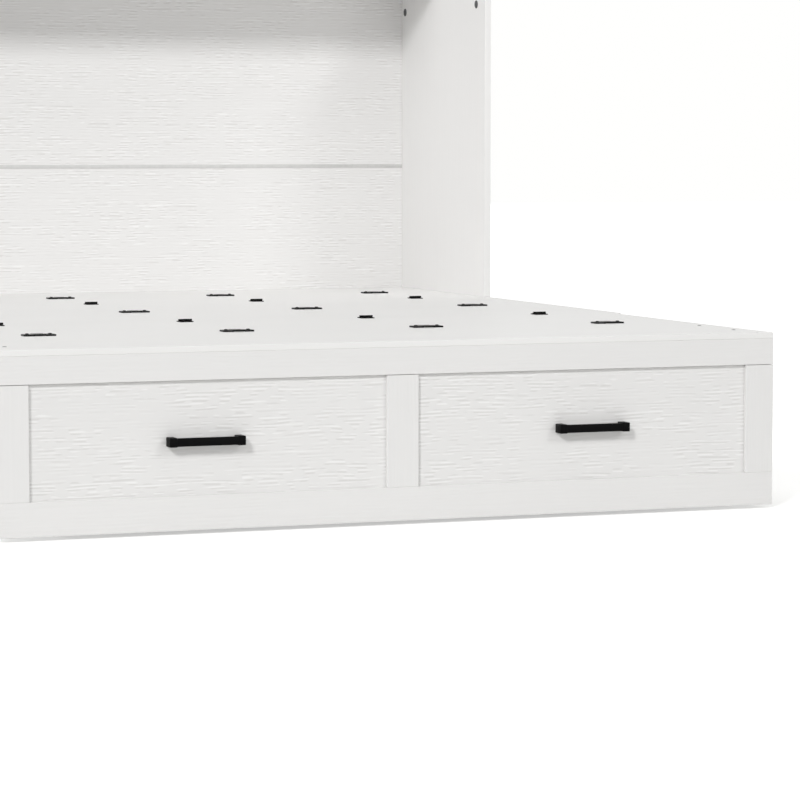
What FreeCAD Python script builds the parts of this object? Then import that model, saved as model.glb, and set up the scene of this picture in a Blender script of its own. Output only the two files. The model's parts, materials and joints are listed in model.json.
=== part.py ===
"""Cabinet wall bed that folds in three, shown open, with a wheeled drawer under its foot.

Millimetres. +X is to the right of someone who faces the drawer front, +Y runs to the wall,
+Z is up and the floor is at Z = 0. While the model is built, Y is counted from the drawer's
front face. The finished pieces are moved so that the origin is at the middle of the footprint.
"""
import FreeCAD, Part
import os

V = FreeCAD.Vector

# Deck and fold
DECK_TOP = 358.0
FOOT_WIDTH = 1604.0
SECTION_LENGTH = 777.0
SECTION_THICKNESS = 65.0
DECK_BOARD = 12.0
SEAM_GAP = 2.0
FOLD_AXIS_ABOVE_DECK = 4.0
RAIL_WIDTH = 61.0
CENTRE_RAIL_WIDTH = 65.0
UNDERSIDE_PANEL = 8.0
UNDERSIDE_RECESS = 8.0

# Cabinet
SIDE_THICKNESS = 16.0
FOOT_TO_SIDE_CLEARANCE = 3.0
CABINET_DEPTH = 600.0
BACK_RECESS = 17.0
BACK_THICKNESS = 15.0
BACK_SEAM_ABOVE_DECK = 323.0
BACK_SEAM_GROOVE = 2.5
INSIDE_HEIGHT_ABOVE_DECK = 790.0
TOP_THICKNESS = 18.0
REAR_DECK_CLEARANCE = 0.2
CLEAT_WIDTH = 30.0
REAR_FRONT_RAIL = 24.0
STRETCHER_HEIGHT = 90.0
STRETCHER_THICKNESS = 18.0
EDGE_RADIUS = 1.0
EDGE_SHARE = 0.3
CUT_MARGIN = 1.0

# Round caps on the inner faces of the side panels
CAP_RADIUS = 10.0
CAP_THICKNESS = 1.0
CAP_BELOW_TOP = 62.0
CAP_ROUND_SHARE = 0.7
CAP_FROM_FRONT = 58.0
CAP_FROM_BACK = 24.0

# Wall brackets under the fixed top
BRACKET_SPACING = 1200.0
BRACKET_WIDTH = 60.0
BRACKET_LEG = 24.0
BRACKET_THICKNESS = 3.0
WALL_HOLE_RADIUS = 3.25
WALL_HOLE_BELOW_TOP = 14.0

# Fold hinges and strap loops, in the same columns
COLUMN_SPACING = 413.0
COLUMN_COUNT = 4
HINGE_WIDTH = 30.0
HINGE_LEAF_LENGTH = 16.0
HINGE_LEAF_THICKNESS = 1.6
KNUCKLE_RADIUS = 2.2
FOLD_PIN_RADIUS = 1.1
KNUCKLE_GAP = 0.3
PIN_CLEARANCE = 0.05
HINGE_SCREW_PITCH = 16.0
LEAF_SCREW_SHARE = 0.6
LEAF_CORNER_RADIUS = 3.5
RISER_SHARE = 0.4
LOOP_LENGTH = 66.0
LOOP_WIDTH = 34.0
LOOP_HEIGHT = 3.2
LOOP_THICKNESS = 1.6
LOOP_EAR = 19.0
LOOP_RAMP = 2.5
LOOP_CORNER_RADIUS = 5.0
FOOT_LOOP_BEHIND_CENTRE = 22.0
MID_LOOP_BEHIND_CENTRE = 11.0
SCREW_HEAD_RADIUS = 4.0
SCREW_HEAD_HEIGHT = 2.0
SCREW_ROUND_SHARE = 0.6
SCREW_SHANK_RADIUS = 1.7
SCREW_HOLE_CLEARANCE = 0.1
SCREW_TIP_COVER = 2.0

# Lid and its hinges
LID_FRONT_CLEARANCE = 1.0
LID_AXIS_ABOVE_TOP = 0.3
LID_SEAM_HALF_GAP = 1.0
LID_BACK_CLEARANCE = 1.0
LID_HINGE_SPACING = 600.0
LID_HINGE_COUNT = 3
LID_HINGE_WIDTH = 60.0
LID_LEAF_LENGTH = 25.0
LID_LEAF_THICKNESS = 1.5
LID_KNUCKLE_RADIUS = 2.2
LID_PIN_RADIUS = 1.2
LID_NOTCH_CLEARANCE = 0.4

# Folding legs
LEG_WIDTH = 30.0
LEG_THICKNESS = 8.0
LEG_SIDE_GAP = 0.3
LEG_TOP_CLEARANCE = 2.0
LEG_FROM_SEAM = 30.0
LEG_BOLT_RADIUS = 4.0
LEG_BOLT_HEAD_RADIUS = 8.0
LEG_BOLT_HEAD_HEIGHT = 1.2
LEG_BOLT_DEPTH = 40.0
LEG_TOE_RADIUS = 4.0

# Drawer
DRAWER_CLEARANCE = 0.9
FRONT_FLOOR_GAP = 8.0
FRONT_BOARD = 16.0
FRONT_RECESS = 9.0
FRONT_BOTTOM_RAIL = 66.0
FRONT_END_STILE = 61.0
FRONT_MIDDLE_STILE = 65.0
DRAWER_SIDE_MARGIN = 22.0
DRAWER_DEPTH = 500.0
DRAWER_SIDE_HEIGHT = 200.0
DRAWER_SIDE_THICKNESS = 12.0
DRAWER_BOTTOM_THICKNESS = 12.0
PULL_SPACING = 800.0
PULL_HEIGHT_ABOVE_FLOOR = 177.5
PULL_LENGTH = 150.0
PULL_BAR_HEIGHT = 16.0
PULL_BAR_DEPTH = 9.0
PULL_POST = 15.0
PULL_POST_HEIGHT = 18.0
PULL_PROJECTION = 28.0
PULL_EDGE_RADIUS = 1.2
PULL_SCREW_RADIUS = 2.0
PULL_SCREW_HEAD_RADIUS = 4.5
PULL_SCREW_HEAD_HEIGHT = 2.5
PULL_SCREW_IN_POST = 12.0

# Casters
WHEEL_RADIUS = 20.0
WHEEL_WIDTH = 18.0
WHEEL_EDGE_RADIUS = 3.0
WHEEL_SIDE_GAP = 0.5
WHEEL_SIDE_INSET = 130.0
WHEEL_FRONT_INSET = 95.0
WHEEL_REAR_INSET = 85.0
AXLE_RADIUS = 3.0
AXLE_HEAD_RADIUS = 5.0
AXLE_HEAD_HEIGHT = 2.0
CASTER_CHEEK = 2.0
CASTER_PLATE = 3.0
CASTER_PLATE_MARGIN = 12.0
CASTER_CHEEK_HALF_LENGTH = 9.0
CASTER_GROUND = 50.0

# Places worked out from the sizes above
DECK_UNDER = DECK_TOP - DECK_BOARD
SECTION_BOTTOM = DECK_TOP - SECTION_THICKNESS
FOLD_AXIS_Z = DECK_TOP + FOLD_AXIS_ABOVE_DECK
FOOT_AXIS_Y = SECTION_LENGTH
MID_AXIS_Y = SECTION_LENGTH * 2.0 + SEAM_GAP / 2.0
FOOT_REAR_Y = FOOT_AXIS_Y - SEAM_GAP / 2.0
MID_FRONT_Y = FOOT_AXIS_Y + SEAM_GAP / 2.0
MID_REAR_Y = MID_AXIS_Y - SEAM_GAP / 2.0
CABINET_FRONT_Y = MID_AXIS_Y + SEAM_GAP / 2.0
CABINET_BACK_Y = CABINET_FRONT_Y + CABINET_DEPTH
BACK_FRONT_Y = CABINET_BACK_Y - BACK_RECESS
BACK_REAR_Y = BACK_FRONT_Y + BACK_THICKNESS
INSIDE_HALF = FOOT_WIDTH / 2.0 + FOOT_TO_SIDE_CLEARANCE
OUTSIDE_HALF = INSIDE_HALF + SIDE_THICKNESS
INSIDE_TOP = DECK_TOP + INSIDE_HEIGHT_ABOVE_DECK
TOP_FACE = INSIDE_TOP + TOP_THICKNESS
LID_AXIS_Z = TOP_FACE + LID_AXIS_ABOVE_TOP
LID_AXIS_Y = (CABINET_FRONT_Y + LID_FRONT_CLEARANCE + CABINET_BACK_Y - LID_BACK_CLEARANCE) / 2.0
LEG_INNER_X = OUTSIDE_HALF - LEG_THICKNESS - LEG_BOLT_HEAD_HEIGHT - 2.0 * LEG_SIDE_GAP
MID_FRAME_HALF = LEG_INNER_X - LEG_SIDE_GAP
LEG_PIVOT_Y = MID_FRONT_Y + LEG_FROM_SEAM
LEG_PIVOT_Z = DECK_UNDER - LEG_TOP_CLEARANCE - LEG_WIDTH / 2.0
FRONT_TOP = SECTION_BOTTOM - DRAWER_CLEARANCE
FRONT_BACK_Y = FRONT_RECESS + FRONT_BOARD
DRAWER_HALF = FOOT_WIDTH / 2.0 - DRAWER_SIDE_MARGIN
WHEEL_COLUMNS = (WHEEL_SIDE_INSET - DRAWER_HALF, DRAWER_HALF - WHEEL_SIDE_INSET)
DRAWER_BACK_Y = FRONT_BACK_Y + DRAWER_DEPTH
FRONT_WHEEL_Y = FRONT_BACK_Y + WHEEL_FRONT_INSET
REAR_WHEEL_Y = DRAWER_BACK_Y - WHEEL_REAR_INSET
DRAWER_SLIDE_IN = CABINET_FRONT_Y - SEAM_GAP / 2.0 - SECTION_THICKNESS - FOLD_AXIS_ABOVE_DECK
CENTRE_Y = (CABINET_BACK_Y - (PULL_PROJECTION - FRONT_RECESS)) / 2.0
COLUMNS = [(i - (COLUMN_COUNT - 1) / 2.0) * COLUMN_SPACING for i in range(COLUMN_COUNT)]
LID_HINGES = [(i - (LID_HINGE_COUNT - 1) / 2.0) * LID_HINGE_SPACING for i in range(LID_HINGE_COUNT)]
FOOT_LOOP_Y = FOOT_REAR_Y / 2.0 + FOOT_LOOP_BEHIND_CENTRE
MID_LOOP_Y = (MID_FRONT_Y + MID_REAR_Y) / 2.0 + MID_LOOP_BEHIND_CENTRE
REAR_LOOP_Y = (CABINET_FRONT_Y + BACK_FRONT_Y) / 2.0
LEAF_SCREW_OFFSET = SEAM_GAP / 2.0 + HINGE_LEAF_LENGTH * LEAF_SCREW_SHARE
LOOP_SCREW_OFFSET = (LOOP_LENGTH - LOOP_EAR) / 2.0

nodes = {}


def box(x0, x1, y0, y1, z0, z1):
    return Part.makeBox(x1 - x0, y1 - y0, z1 - z0, V(x0, y0, z0))


def board(x0, x1, y0, y1, z0, z1):
    """A board with eased edges, limited by its thinnest side."""
    solid = box(x0, x1, y0, y1, z0, z1)
    ease = min(EDGE_RADIUS, EDGE_SHARE * min(x1 - x0, y1 - y0, z1 - z0))
    return solid.makeFillet(ease, solid.Edges)


def rod_x(x0, x1, y, z, radius):
    return Part.makeCylinder(radius, x1 - x0, V(x0, y, z), V(1, 0, 0))


def rod_y(y0, y1, x, z, radius):
    return Part.makeCylinder(radius, y1 - y0, V(x, y0, z), V(0, 1, 0))


def rod_z(z0, z1, x, y, radius):
    return Part.makeCylinder(radius, z1 - z0, V(x, y, z0), V(0, 0, 1))


def cut_all(solid, tools):
    return solid.cut(Part.makeCompound(tools)) if tools else solid


def group(solids):
    return Part.makeCompound(solids)


# Screws of the deck hardware
def leaf_screw_places(axis_y, side):
    """X and Y of the two screws in each leaf on one side of a fold: side is -1 or 1."""
    offsets = (-HINGE_SCREW_PITCH / 2.0, HINGE_SCREW_PITCH / 2.0)
    return [(x + dx, axis_y + side * LEAF_SCREW_OFFSET) for x in COLUMNS for dx in offsets]


def loop_screw_places(row_y):
    offsets = (-LOOP_SCREW_OFFSET, LOOP_SCREW_OFFSET)
    return [(x + dx, row_y) for x in COLUMNS for dx in offsets]


def deck_screw(x, y, seat):
    """A pan head on a plate of the given thickness, its shank down in the deck board."""
    top = DECK_TOP + seat
    head = rod_z(top, top + SCREW_HEAD_HEIGHT, x, y, SCREW_HEAD_RADIUS)
    circles = [e for e in head.Edges if len(e.Vertexes) == 1]
    rim = [e for e in circles if e.BoundBox.ZMin > top + SCREW_HEAD_HEIGHT / 2.0]
    head = head.makeFillet(SCREW_HEAD_HEIGHT * SCREW_ROUND_SHARE, rim)
    shank = rod_z(DECK_UNDER + SCREW_TIP_COVER, top, x, y, SCREW_SHANK_RADIUS)
    return head.fuse(shank).removeSplitter()


def pilot_holes(places):
    radius = SCREW_SHANK_RADIUS + SCREW_HOLE_CLEARANCE
    low = DECK_UNDER + SCREW_TIP_COVER - SCREW_HOLE_CLEARANCE
    return [rod_z(low, DECK_TOP + CUT_MARGIN, x, y, radius) for x, y in places]


def plate_holes(places):
    radius = SCREW_SHANK_RADIUS + SCREW_HOLE_CLEARANCE
    return [rod_z(DECK_TOP - CUT_MARGIN, DECK_TOP + LOOP_HEIGHT, x, y, radius) for x, y in places]


def deck_screws(leaf_places, loop_places):
    screws = [deck_screw(x, y, HINGE_LEAF_THICKNESS) for x, y in leaf_places]
    screws += [deck_screw(x, y, LOOP_THICKNESS) for x, y in loop_places]
    return group(screws)


# Fold hinges: flat leaves on the deck with knuckles above the seam
KNUCKLE_LENGTH = HINGE_WIDTH / 3.0


def knuckle_spans(x, middle):
    """The stretches of a hinge's width that belong to the middle or to the outer knuckles."""
    left = x - HINGE_WIDTH / 2.0
    inner = (left + KNUCKLE_LENGTH + KNUCKLE_GAP / 2.0, left + 2.0 * KNUCKLE_LENGTH - KNUCKLE_GAP / 2.0)
    if middle:
        return [inner]
    return [(left, inner[0] - KNUCKLE_GAP), (inner[1] + KNUCKLE_GAP, left + HINGE_WIDTH)]


def fold_leaf(x, axis_y, side, middle):
    near = axis_y + side * SEAM_GAP / 2.0
    far = near + side * HINGE_LEAF_LENGTH
    leaf = box(x - HINGE_WIDTH / 2.0, x + HINGE_WIDTH / 2.0, min(near, far), max(near, far),
               DECK_TOP, DECK_TOP + HINGE_LEAF_THICKNESS)
    corners = [e for e in leaf.Edges if e.BoundBox.ZLength > HINGE_LEAF_THICKNESS / 2.0
               and abs(e.BoundBox.Center.y - far) < SEAM_GAP / 2.0]
    leaf = leaf.makeFillet(LEAF_CORNER_RADIUS, corners)
    riser_ends = (axis_y + side * FOLD_PIN_RADIUS * RISER_SHARE, axis_y + side * KNUCKLE_RADIUS)
    for x0, x1 in knuckle_spans(x, middle):
        riser = box(x0, x1, min(riser_ends), max(riser_ends),
                    DECK_TOP + HINGE_LEAF_THICKNESS / 2.0, FOLD_AXIS_Z)
        leaf = leaf.fuse([riser, rod_x(x0, x1, axis_y, FOLD_AXIS_Z, KNUCKLE_RADIUS)])
    bore = rod_x(x - HINGE_WIDTH, x + HINGE_WIDTH, axis_y, FOLD_AXIS_Z, FOLD_PIN_RADIUS + PIN_CLEARANCE)
    places = [p for p in leaf_screw_places(axis_y, side) if abs(p[0] - x) < HINGE_WIDTH / 2.0]
    return cut_all(leaf, [bore] + plate_holes(places)).removeSplitter()


def fold_leaves(axis_y, side, middle):
    return [fold_leaf(x, axis_y, side, middle) for x in COLUMNS]


def fold_pins(axis_y):
    half = HINGE_WIDTH / 2.0
    return [rod_x(x - half, x + half, axis_y, FOLD_AXIS_Z, FOLD_PIN_RADIUS) for x in COLUMNS]


# Strap loops: a strip with two screwed ears and a raised bridge between them
def strap_loop(x, row_y):
    half = LOOP_LENGTH / 2.0
    ear = half - LOOP_EAR
    flat = ear - LOOP_RAMP
    upper = [(-half, LOOP_THICKNESS), (-ear, LOOP_THICKNESS), (-flat, LOOP_HEIGHT),
             (flat, LOOP_HEIGHT), (ear, LOOP_THICKNESS), (half, LOOP_THICKNESS)]
    inside = flat - LOOP_THICKNESS / 2.0
    foot = ear - LOOP_THICKNESS / 2.0
    lower = [(half, 0.0), (foot, 0.0), (inside, LOOP_HEIGHT - LOOP_THICKNESS),
             (-inside, LOOP_HEIGHT - LOOP_THICKNESS), (-foot, 0.0), (-half, 0.0)]
    points = [V(x + px, row_y - LOOP_WIDTH / 2.0, DECK_TOP + pz) for px, pz in upper + lower]
    face = Part.Face(Part.makePolygon(points + points[:1]))
    strip = face.extrude(V(0, LOOP_WIDTH, 0))
    upright = [e for e in strip.Edges if e.BoundBox.XLength < LOOP_THICKNESS / 2.0
               and e.BoundBox.YLength < LOOP_THICKNESS / 2.0]
    strip = strip.makeFillet(LOOP_CORNER_RADIUS, upright)
    places = [p for p in loop_screw_places(row_y) if abs(p[0] - x) < half]
    return cut_all(strip, plate_holes(places))


def strap_loops(row_y):
    return group([strap_loop(x, row_y) for x in COLUMNS])


# Foot section
def build_foot():
    half = FOOT_WIDTH / 2.0
    leaf_places = leaf_screw_places(FOOT_AXIS_Y, -1)
    loop_places = loop_screw_places(FOOT_LOOP_Y)
    deck = board(-half, half, 0.0, FOOT_REAR_Y, DECK_UNDER, DECK_TOP)
    nodes["foot_deck_board"] = cut_all(deck, pilot_holes(leaf_places + loop_places))
    low, high = SECTION_BOTTOM, DECK_UNDER
    front, rear = RAIL_WIDTH, FOOT_REAR_Y - RAIL_WIDTH
    nodes["foot_apron"] = board(-half, half, 0.0, front, low, high)
    nodes["foot_rear_rail"] = board(-half, half, rear, FOOT_REAR_Y, low, high)
    nodes["foot_left_rail"] = board(-half, -half + RAIL_WIDTH, front, rear, low, high)
    nodes["foot_right_rail"] = board(half - RAIL_WIDTH, half, front, rear, low, high)
    middle = CENTRE_RAIL_WIDTH / 2.0
    nodes["foot_centre_rail"] = board(-middle, middle, front, rear, low, high)
    nodes["foot_hinge_leaves"] = group(fold_leaves(FOOT_AXIS_Y, -1, True))
    nodes["foot_strap_loops"] = strap_loops(FOOT_LOOP_Y)
    nodes["foot_screws"] = deck_screws(leaf_places, loop_places)


# Middle section, whose underside is the cabinet's front when the bed is shut
def build_middle():
    frame = MID_FRAME_HALF
    leaf_places = leaf_screw_places(FOOT_AXIS_Y, 1) + leaf_screw_places(MID_AXIS_Y, -1)
    loop_places = loop_screw_places(MID_LOOP_Y)
    deck = board(-OUTSIDE_HALF, OUTSIDE_HALF, MID_FRONT_Y, MID_REAR_Y, DECK_UNDER, DECK_TOP)
    nodes["middle_deck_board"] = cut_all(deck, pilot_holes(leaf_places + loop_places))
    low, high = SECTION_BOTTOM, DECK_UNDER
    front, rear = MID_FRONT_Y + RAIL_WIDTH, MID_REAR_Y - RAIL_WIDTH
    inner = frame - RAIL_WIDTH
    bolt_hole = LEG_BOLT_RADIUS + SCREW_HOLE_CLEARANCE
    for name, side in (("left", -1), ("right", 1)):
        ends = sorted((side * inner, side * frame))
        rail = board(ends[0], ends[1], MID_FRONT_Y, MID_REAR_Y, low, high)
        bolt_tip = frame - LEG_BOLT_DEPTH - SCREW_HOLE_CLEARANCE
        bolt_ends = sorted((side * bolt_tip, side * (frame + CUT_MARGIN)))
        hole = rod_x(bolt_ends[0], bolt_ends[1], LEG_PIVOT_Y, LEG_PIVOT_Z, bolt_hole)
        nodes["middle_%s_rail" % name] = rail.cut(hole)
    nodes["middle_front_rail"] = board(-inner, inner, MID_FRONT_Y, front, low, high)
    nodes["middle_rear_rail"] = board(-inner, inner, rear, MID_REAR_Y, low, high)
    middle = CENTRE_RAIL_WIDTH / 2.0
    nodes["middle_centre_rail"] = board(-middle, middle, front, rear, low, high)
    panel_low = low + UNDERSIDE_RECESS
    panel_high = panel_low + UNDERSIDE_PANEL
    nodes["middle_left_panel"] = box(-inner, -middle, front, rear, panel_low, panel_high)
    nodes["middle_right_panel"] = box(middle, inner, front, rear, panel_low, panel_high)
    leaves = fold_leaves(FOOT_AXIS_Y, 1, False) + fold_leaves(MID_AXIS_Y, -1, True)
    nodes["middle_hinge_leaves"] = group(leaves)
    nodes["foot_hinge_pins"] = group(fold_pins(FOOT_AXIS_Y))
    nodes["middle_strap_loops"] = strap_loops(MID_LOOP_Y)
    nodes["middle_screws"] = deck_screws(leaf_places, loop_places)


# Folding legs under the middle section's outer edges
def leg_bolt(side):
    outer = LEG_INNER_X + LEG_THICKNESS + LEG_SIDE_GAP
    shank_ends = sorted((side * (MID_FRAME_HALF - LEG_BOLT_DEPTH), side * outer))
    head_ends = sorted((side * outer, side * (outer + LEG_BOLT_HEAD_HEIGHT)))
    shank = rod_x(shank_ends[0], shank_ends[1], LEG_PIVOT_Y, LEG_PIVOT_Z, LEG_BOLT_RADIUS)
    head = rod_x(head_ends[0], head_ends[1], LEG_PIVOT_Y, LEG_PIVOT_Z, LEG_BOLT_HEAD_RADIUS)
    return shank.fuse(head).removeSplitter()


def leg_bar(side):
    """A flat bar from the pivot to the floor, round at the top and eased at the toe."""
    ends = sorted((side * LEG_INNER_X, side * (LEG_INNER_X + LEG_THICKNESS)))
    half = LEG_WIDTH / 2.0
    bar = box(ends[0], ends[1], LEG_PIVOT_Y - half, LEG_PIVOT_Y + half, 0.0, LEG_PIVOT_Z)
    low_edges = [e for e in bar.Edges if e.BoundBox.ZMax < LEG_TOE_RADIUS]
    toe = [e for e in low_edges if e.BoundBox.XLength > LEG_THICKNESS / 2.0]
    bar = bar.makeFillet(LEG_TOE_RADIUS, toe)
    bar = bar.fuse(rod_x(ends[0], ends[1], LEG_PIVOT_Y, LEG_PIVOT_Z, half)).removeSplitter()
    hole = rod_x(ends[0] - CUT_MARGIN, ends[1] + CUT_MARGIN, LEG_PIVOT_Y, LEG_PIVOT_Z,
                 LEG_BOLT_RADIUS + PIN_CLEARANCE)
    return bar.cut(hole)


def build_legs():
    nodes["leg_left"] = leg_bar(-1)
    nodes["leg_right"] = leg_bar(1)
    nodes["leg_pivot_bolts"] = group([leg_bolt(-1), leg_bolt(1)])


# Cabinet
def wall_holes(y0, y1):
    z = INSIDE_TOP - WALL_HOLE_BELOW_TOP
    half = BRACKET_SPACING / 2.0
    return [rod_y(y0, y1, x, z, WALL_HOLE_RADIUS) for x in (-half, half)]


def wall_bracket(x):
    half = BRACKET_WIDTH / 2.0
    upright = box(x - half, x + half, BACK_FRONT_Y - BRACKET_THICKNESS, BACK_FRONT_Y,
                  INSIDE_TOP - BRACKET_LEG, INSIDE_TOP)
    shelf = box(x - half, x + half, BACK_FRONT_Y - BRACKET_LEG, BACK_FRONT_Y,
                INSIDE_TOP - BRACKET_THICKNESS, INSIDE_TOP)
    angle = upright.fuse(shelf).removeSplitter()
    return cut_all(angle, wall_holes(BACK_FRONT_Y - BRACKET_LEG, BACK_REAR_Y))


def fitting_cap(side, y):
    """A shallow round cap on a side panel's inner face."""
    ends = sorted((side * INSIDE_HALF, side * (INSIDE_HALF - CAP_THICKNESS)))
    cap = rod_x(ends[0], ends[1], y, INSIDE_TOP - CAP_BELOW_TOP, CAP_RADIUS)
    inner = side * (INSIDE_HALF - CAP_THICKNESS)
    circles = [e for e in cap.Edges if len(e.Vertexes) == 1]
    rim = [e for e in circles if abs(e.BoundBox.Center.x - inner) < CAP_THICKNESS / 4.0]
    return cap.makeFillet(CAP_THICKNESS * CAP_ROUND_SHARE, rim)


def seam_groove(seam):
    """The V-groove in front of the seam between the two back boards."""
    reach = BACK_SEAM_GROOVE + CUT_MARGIN
    mouth_y = BACK_FRONT_Y - CUT_MARGIN
    apex_y = BACK_FRONT_Y + BACK_SEAM_GROOVE
    left = -INSIDE_HALF - CUT_MARGIN
    points = [V(left, mouth_y, seam - reach), V(left, apex_y, seam), V(left, mouth_y, seam + reach)]
    face = Part.Face(Part.makePolygon(points + points[:1]))
    return face.extrude(V(-2.0 * left, 0, 0))


def build_cabinet():
    front, back = CABINET_FRONT_Y, CABINET_BACK_Y
    nodes["side_panel_left"] = board(-OUTSIDE_HALF, -INSIDE_HALF, front, back, 0.0, INSIDE_TOP)
    nodes["side_panel_right"] = board(INSIDE_HALF, OUTSIDE_HALF, front, back, 0.0, INSIDE_TOP)
    seam = DECK_TOP + BACK_SEAM_ABOVE_DECK
    groove = seam_groove(seam)
    lower = board(-INSIDE_HALF, INSIDE_HALF, BACK_FRONT_Y, BACK_REAR_Y, 0.0, seam)
    nodes["back_board_lower"] = lower.cut(groove)
    upper = board(-INSIDE_HALF, INSIDE_HALF, BACK_FRONT_Y, BACK_REAR_Y, seam, INSIDE_TOP)
    holes = wall_holes(BACK_FRONT_Y - CUT_MARGIN, BACK_REAR_Y + CUT_MARGIN)
    nodes["back_board_upper"] = cut_all(upper, holes + [groove])
    half = BRACKET_SPACING / 2.0
    nodes["wall_brackets"] = group([wall_bracket(-half), wall_bracket(half)])
    cap_rows = (front + CAP_FROM_FRONT, BACK_FRONT_Y - CAP_FROM_BACK)
    nodes["fitting_caps"] = group([fitting_cap(side, y) for side in (-1, 1) for y in cap_rows])

    leaf_places = leaf_screw_places(MID_AXIS_Y, 1)
    loop_places = loop_screw_places(REAR_LOOP_Y)
    deck_half = INSIDE_HALF - REAR_DECK_CLEARANCE
    deck = board(-deck_half, deck_half, front, BACK_FRONT_Y - REAR_DECK_CLEARANCE, DECK_UNDER, DECK_TOP)
    nodes["rear_deck_board"] = cut_all(deck, pilot_holes(leaf_places + loop_places))
    low, high = SECTION_BOTTOM, DECK_UNDER
    rail_back = front + REAR_FRONT_RAIL
    nodes["rear_deck_rail"] = board(-INSIDE_HALF, INSIDE_HALF, front, rail_back, low, high)
    inner = INSIDE_HALF - CLEAT_WIDTH
    nodes["deck_cleat_left"] = board(-INSIDE_HALF, -inner, rail_back, BACK_FRONT_Y, low, high)
    nodes["deck_cleat_right"] = board(inner, INSIDE_HALF, rail_back, BACK_FRONT_Y, low, high)
    nodes["deck_cleat_rear"] = board(-inner, inner, BACK_FRONT_Y - CLEAT_WIDTH, BACK_FRONT_Y, low, high)
    nodes["rear_stretcher"] = board(-INSIDE_HALF, INSIDE_HALF, BACK_FRONT_Y - STRETCHER_THICKNESS,
                                    BACK_FRONT_Y, 0.0, STRETCHER_HEIGHT)
    nodes["rear_hinge_leaves"] = group(fold_leaves(MID_AXIS_Y, 1, False))
    nodes["cabinet_hinge_pins"] = group(fold_pins(MID_AXIS_Y) + lid_pins())
    nodes["rear_strap_loops"] = strap_loops(REAR_LOOP_Y)
    nodes["rear_screws"] = deck_screws(leaf_places, loop_places)


# Top: the rear half is fixed, and the front half is a lid that is turned back onto it
def lid_leaf(x, z0, z1, middle):
    third = LID_HINGE_WIDTH / 3.0
    left = x - LID_HINGE_WIDTH / 2.0
    clear_y = LID_AXIS_Y + LID_KNUCKLE_RADIUS + LID_NOTCH_CLEARANCE
    far = LID_AXIS_Y + LID_LEAF_LENGTH
    leaf = box(left, left + LID_HINGE_WIDTH, clear_y, far, z0, z1)
    inner = (left + third + KNUCKLE_GAP / 2.0, left + 2.0 * third - KNUCKLE_GAP / 2.0)
    outer = [(left, inner[0] - KNUCKLE_GAP), (inner[1] + KNUCKLE_GAP, left + LID_HINGE_WIDTH)]
    for x0, x1 in ([inner] if middle else outer):
        tongue = box(x0, x1, LID_AXIS_Y, clear_y, z0, z1)
        leaf = leaf.fuse([tongue, rod_x(x0, x1, LID_AXIS_Y, LID_AXIS_Z, LID_KNUCKLE_RADIUS)])
    bore = rod_x(left - CUT_MARGIN, left + LID_HINGE_WIDTH + CUT_MARGIN, LID_AXIS_Y, LID_AXIS_Z,
                 LID_PIN_RADIUS + PIN_CLEARANCE)
    return leaf.cut(bore).removeSplitter()


def lid_pins():
    half = LID_HINGE_WIDTH / 2.0
    return [rod_x(x - half, x + half, LID_AXIS_Y, LID_AXIS_Z, LID_PIN_RADIUS) for x in LID_HINGES]


def lid_recesses(z0, z1):
    """Pockets for the lid hinges: one for the leaf, and a round notch for the knuckles."""
    tools = []
    half = LID_HINGE_WIDTH / 2.0 + LID_NOTCH_CLEARANCE
    for x in LID_HINGES:
        far = LID_AXIS_Y + LID_LEAF_LENGTH + LID_NOTCH_CLEARANCE
        tools.append(box(x - half, x + half, LID_AXIS_Y, far, z0, z1))
        radius = LID_KNUCKLE_RADIUS + LID_NOTCH_CLEARANCE
        tools.append(rod_x(x - half, x + half, LID_AXIS_Y, LID_AXIS_Z, radius))
    return tools


def build_top():
    front = LID_AXIS_Y + LID_SEAM_HALF_GAP
    fixed = board(-OUTSIDE_HALF, OUTSIDE_HALF, front, CABINET_BACK_Y, INSIDE_TOP, TOP_FACE)
    leaf_low = TOP_FACE - LID_LEAF_THICKNESS
    nodes["fixed_top"] = cut_all(fixed, lid_recesses(leaf_low, TOP_FACE + CUT_MARGIN))
    lid_low = LID_AXIS_Z + LID_AXIS_ABOVE_TOP
    lid_back = CABINET_BACK_Y - LID_BACK_CLEARANCE
    panel = board(-OUTSIDE_HALF, OUTSIDE_HALF, front, lid_back, lid_low, lid_low + TOP_THICKNESS)
    leaf_high = lid_low + LID_LEAF_THICKNESS
    nodes["lid_panel"] = cut_all(panel, lid_recesses(lid_low - CUT_MARGIN, leaf_high))
    nodes["top_hinge_leaves"] = group([lid_leaf(x, leaf_low, TOP_FACE, False) for x in LID_HINGES])
    nodes["lid_hinge_leaves"] = group([lid_leaf(x, lid_low, leaf_high, True) for x in LID_HINGES])


# Drawer
def pull_posts(x):
    """X of the two posts of the pull whose middle is at x."""
    offset = (PULL_LENGTH - PULL_POST) / 2.0
    return (x - offset, x + offset)


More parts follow.
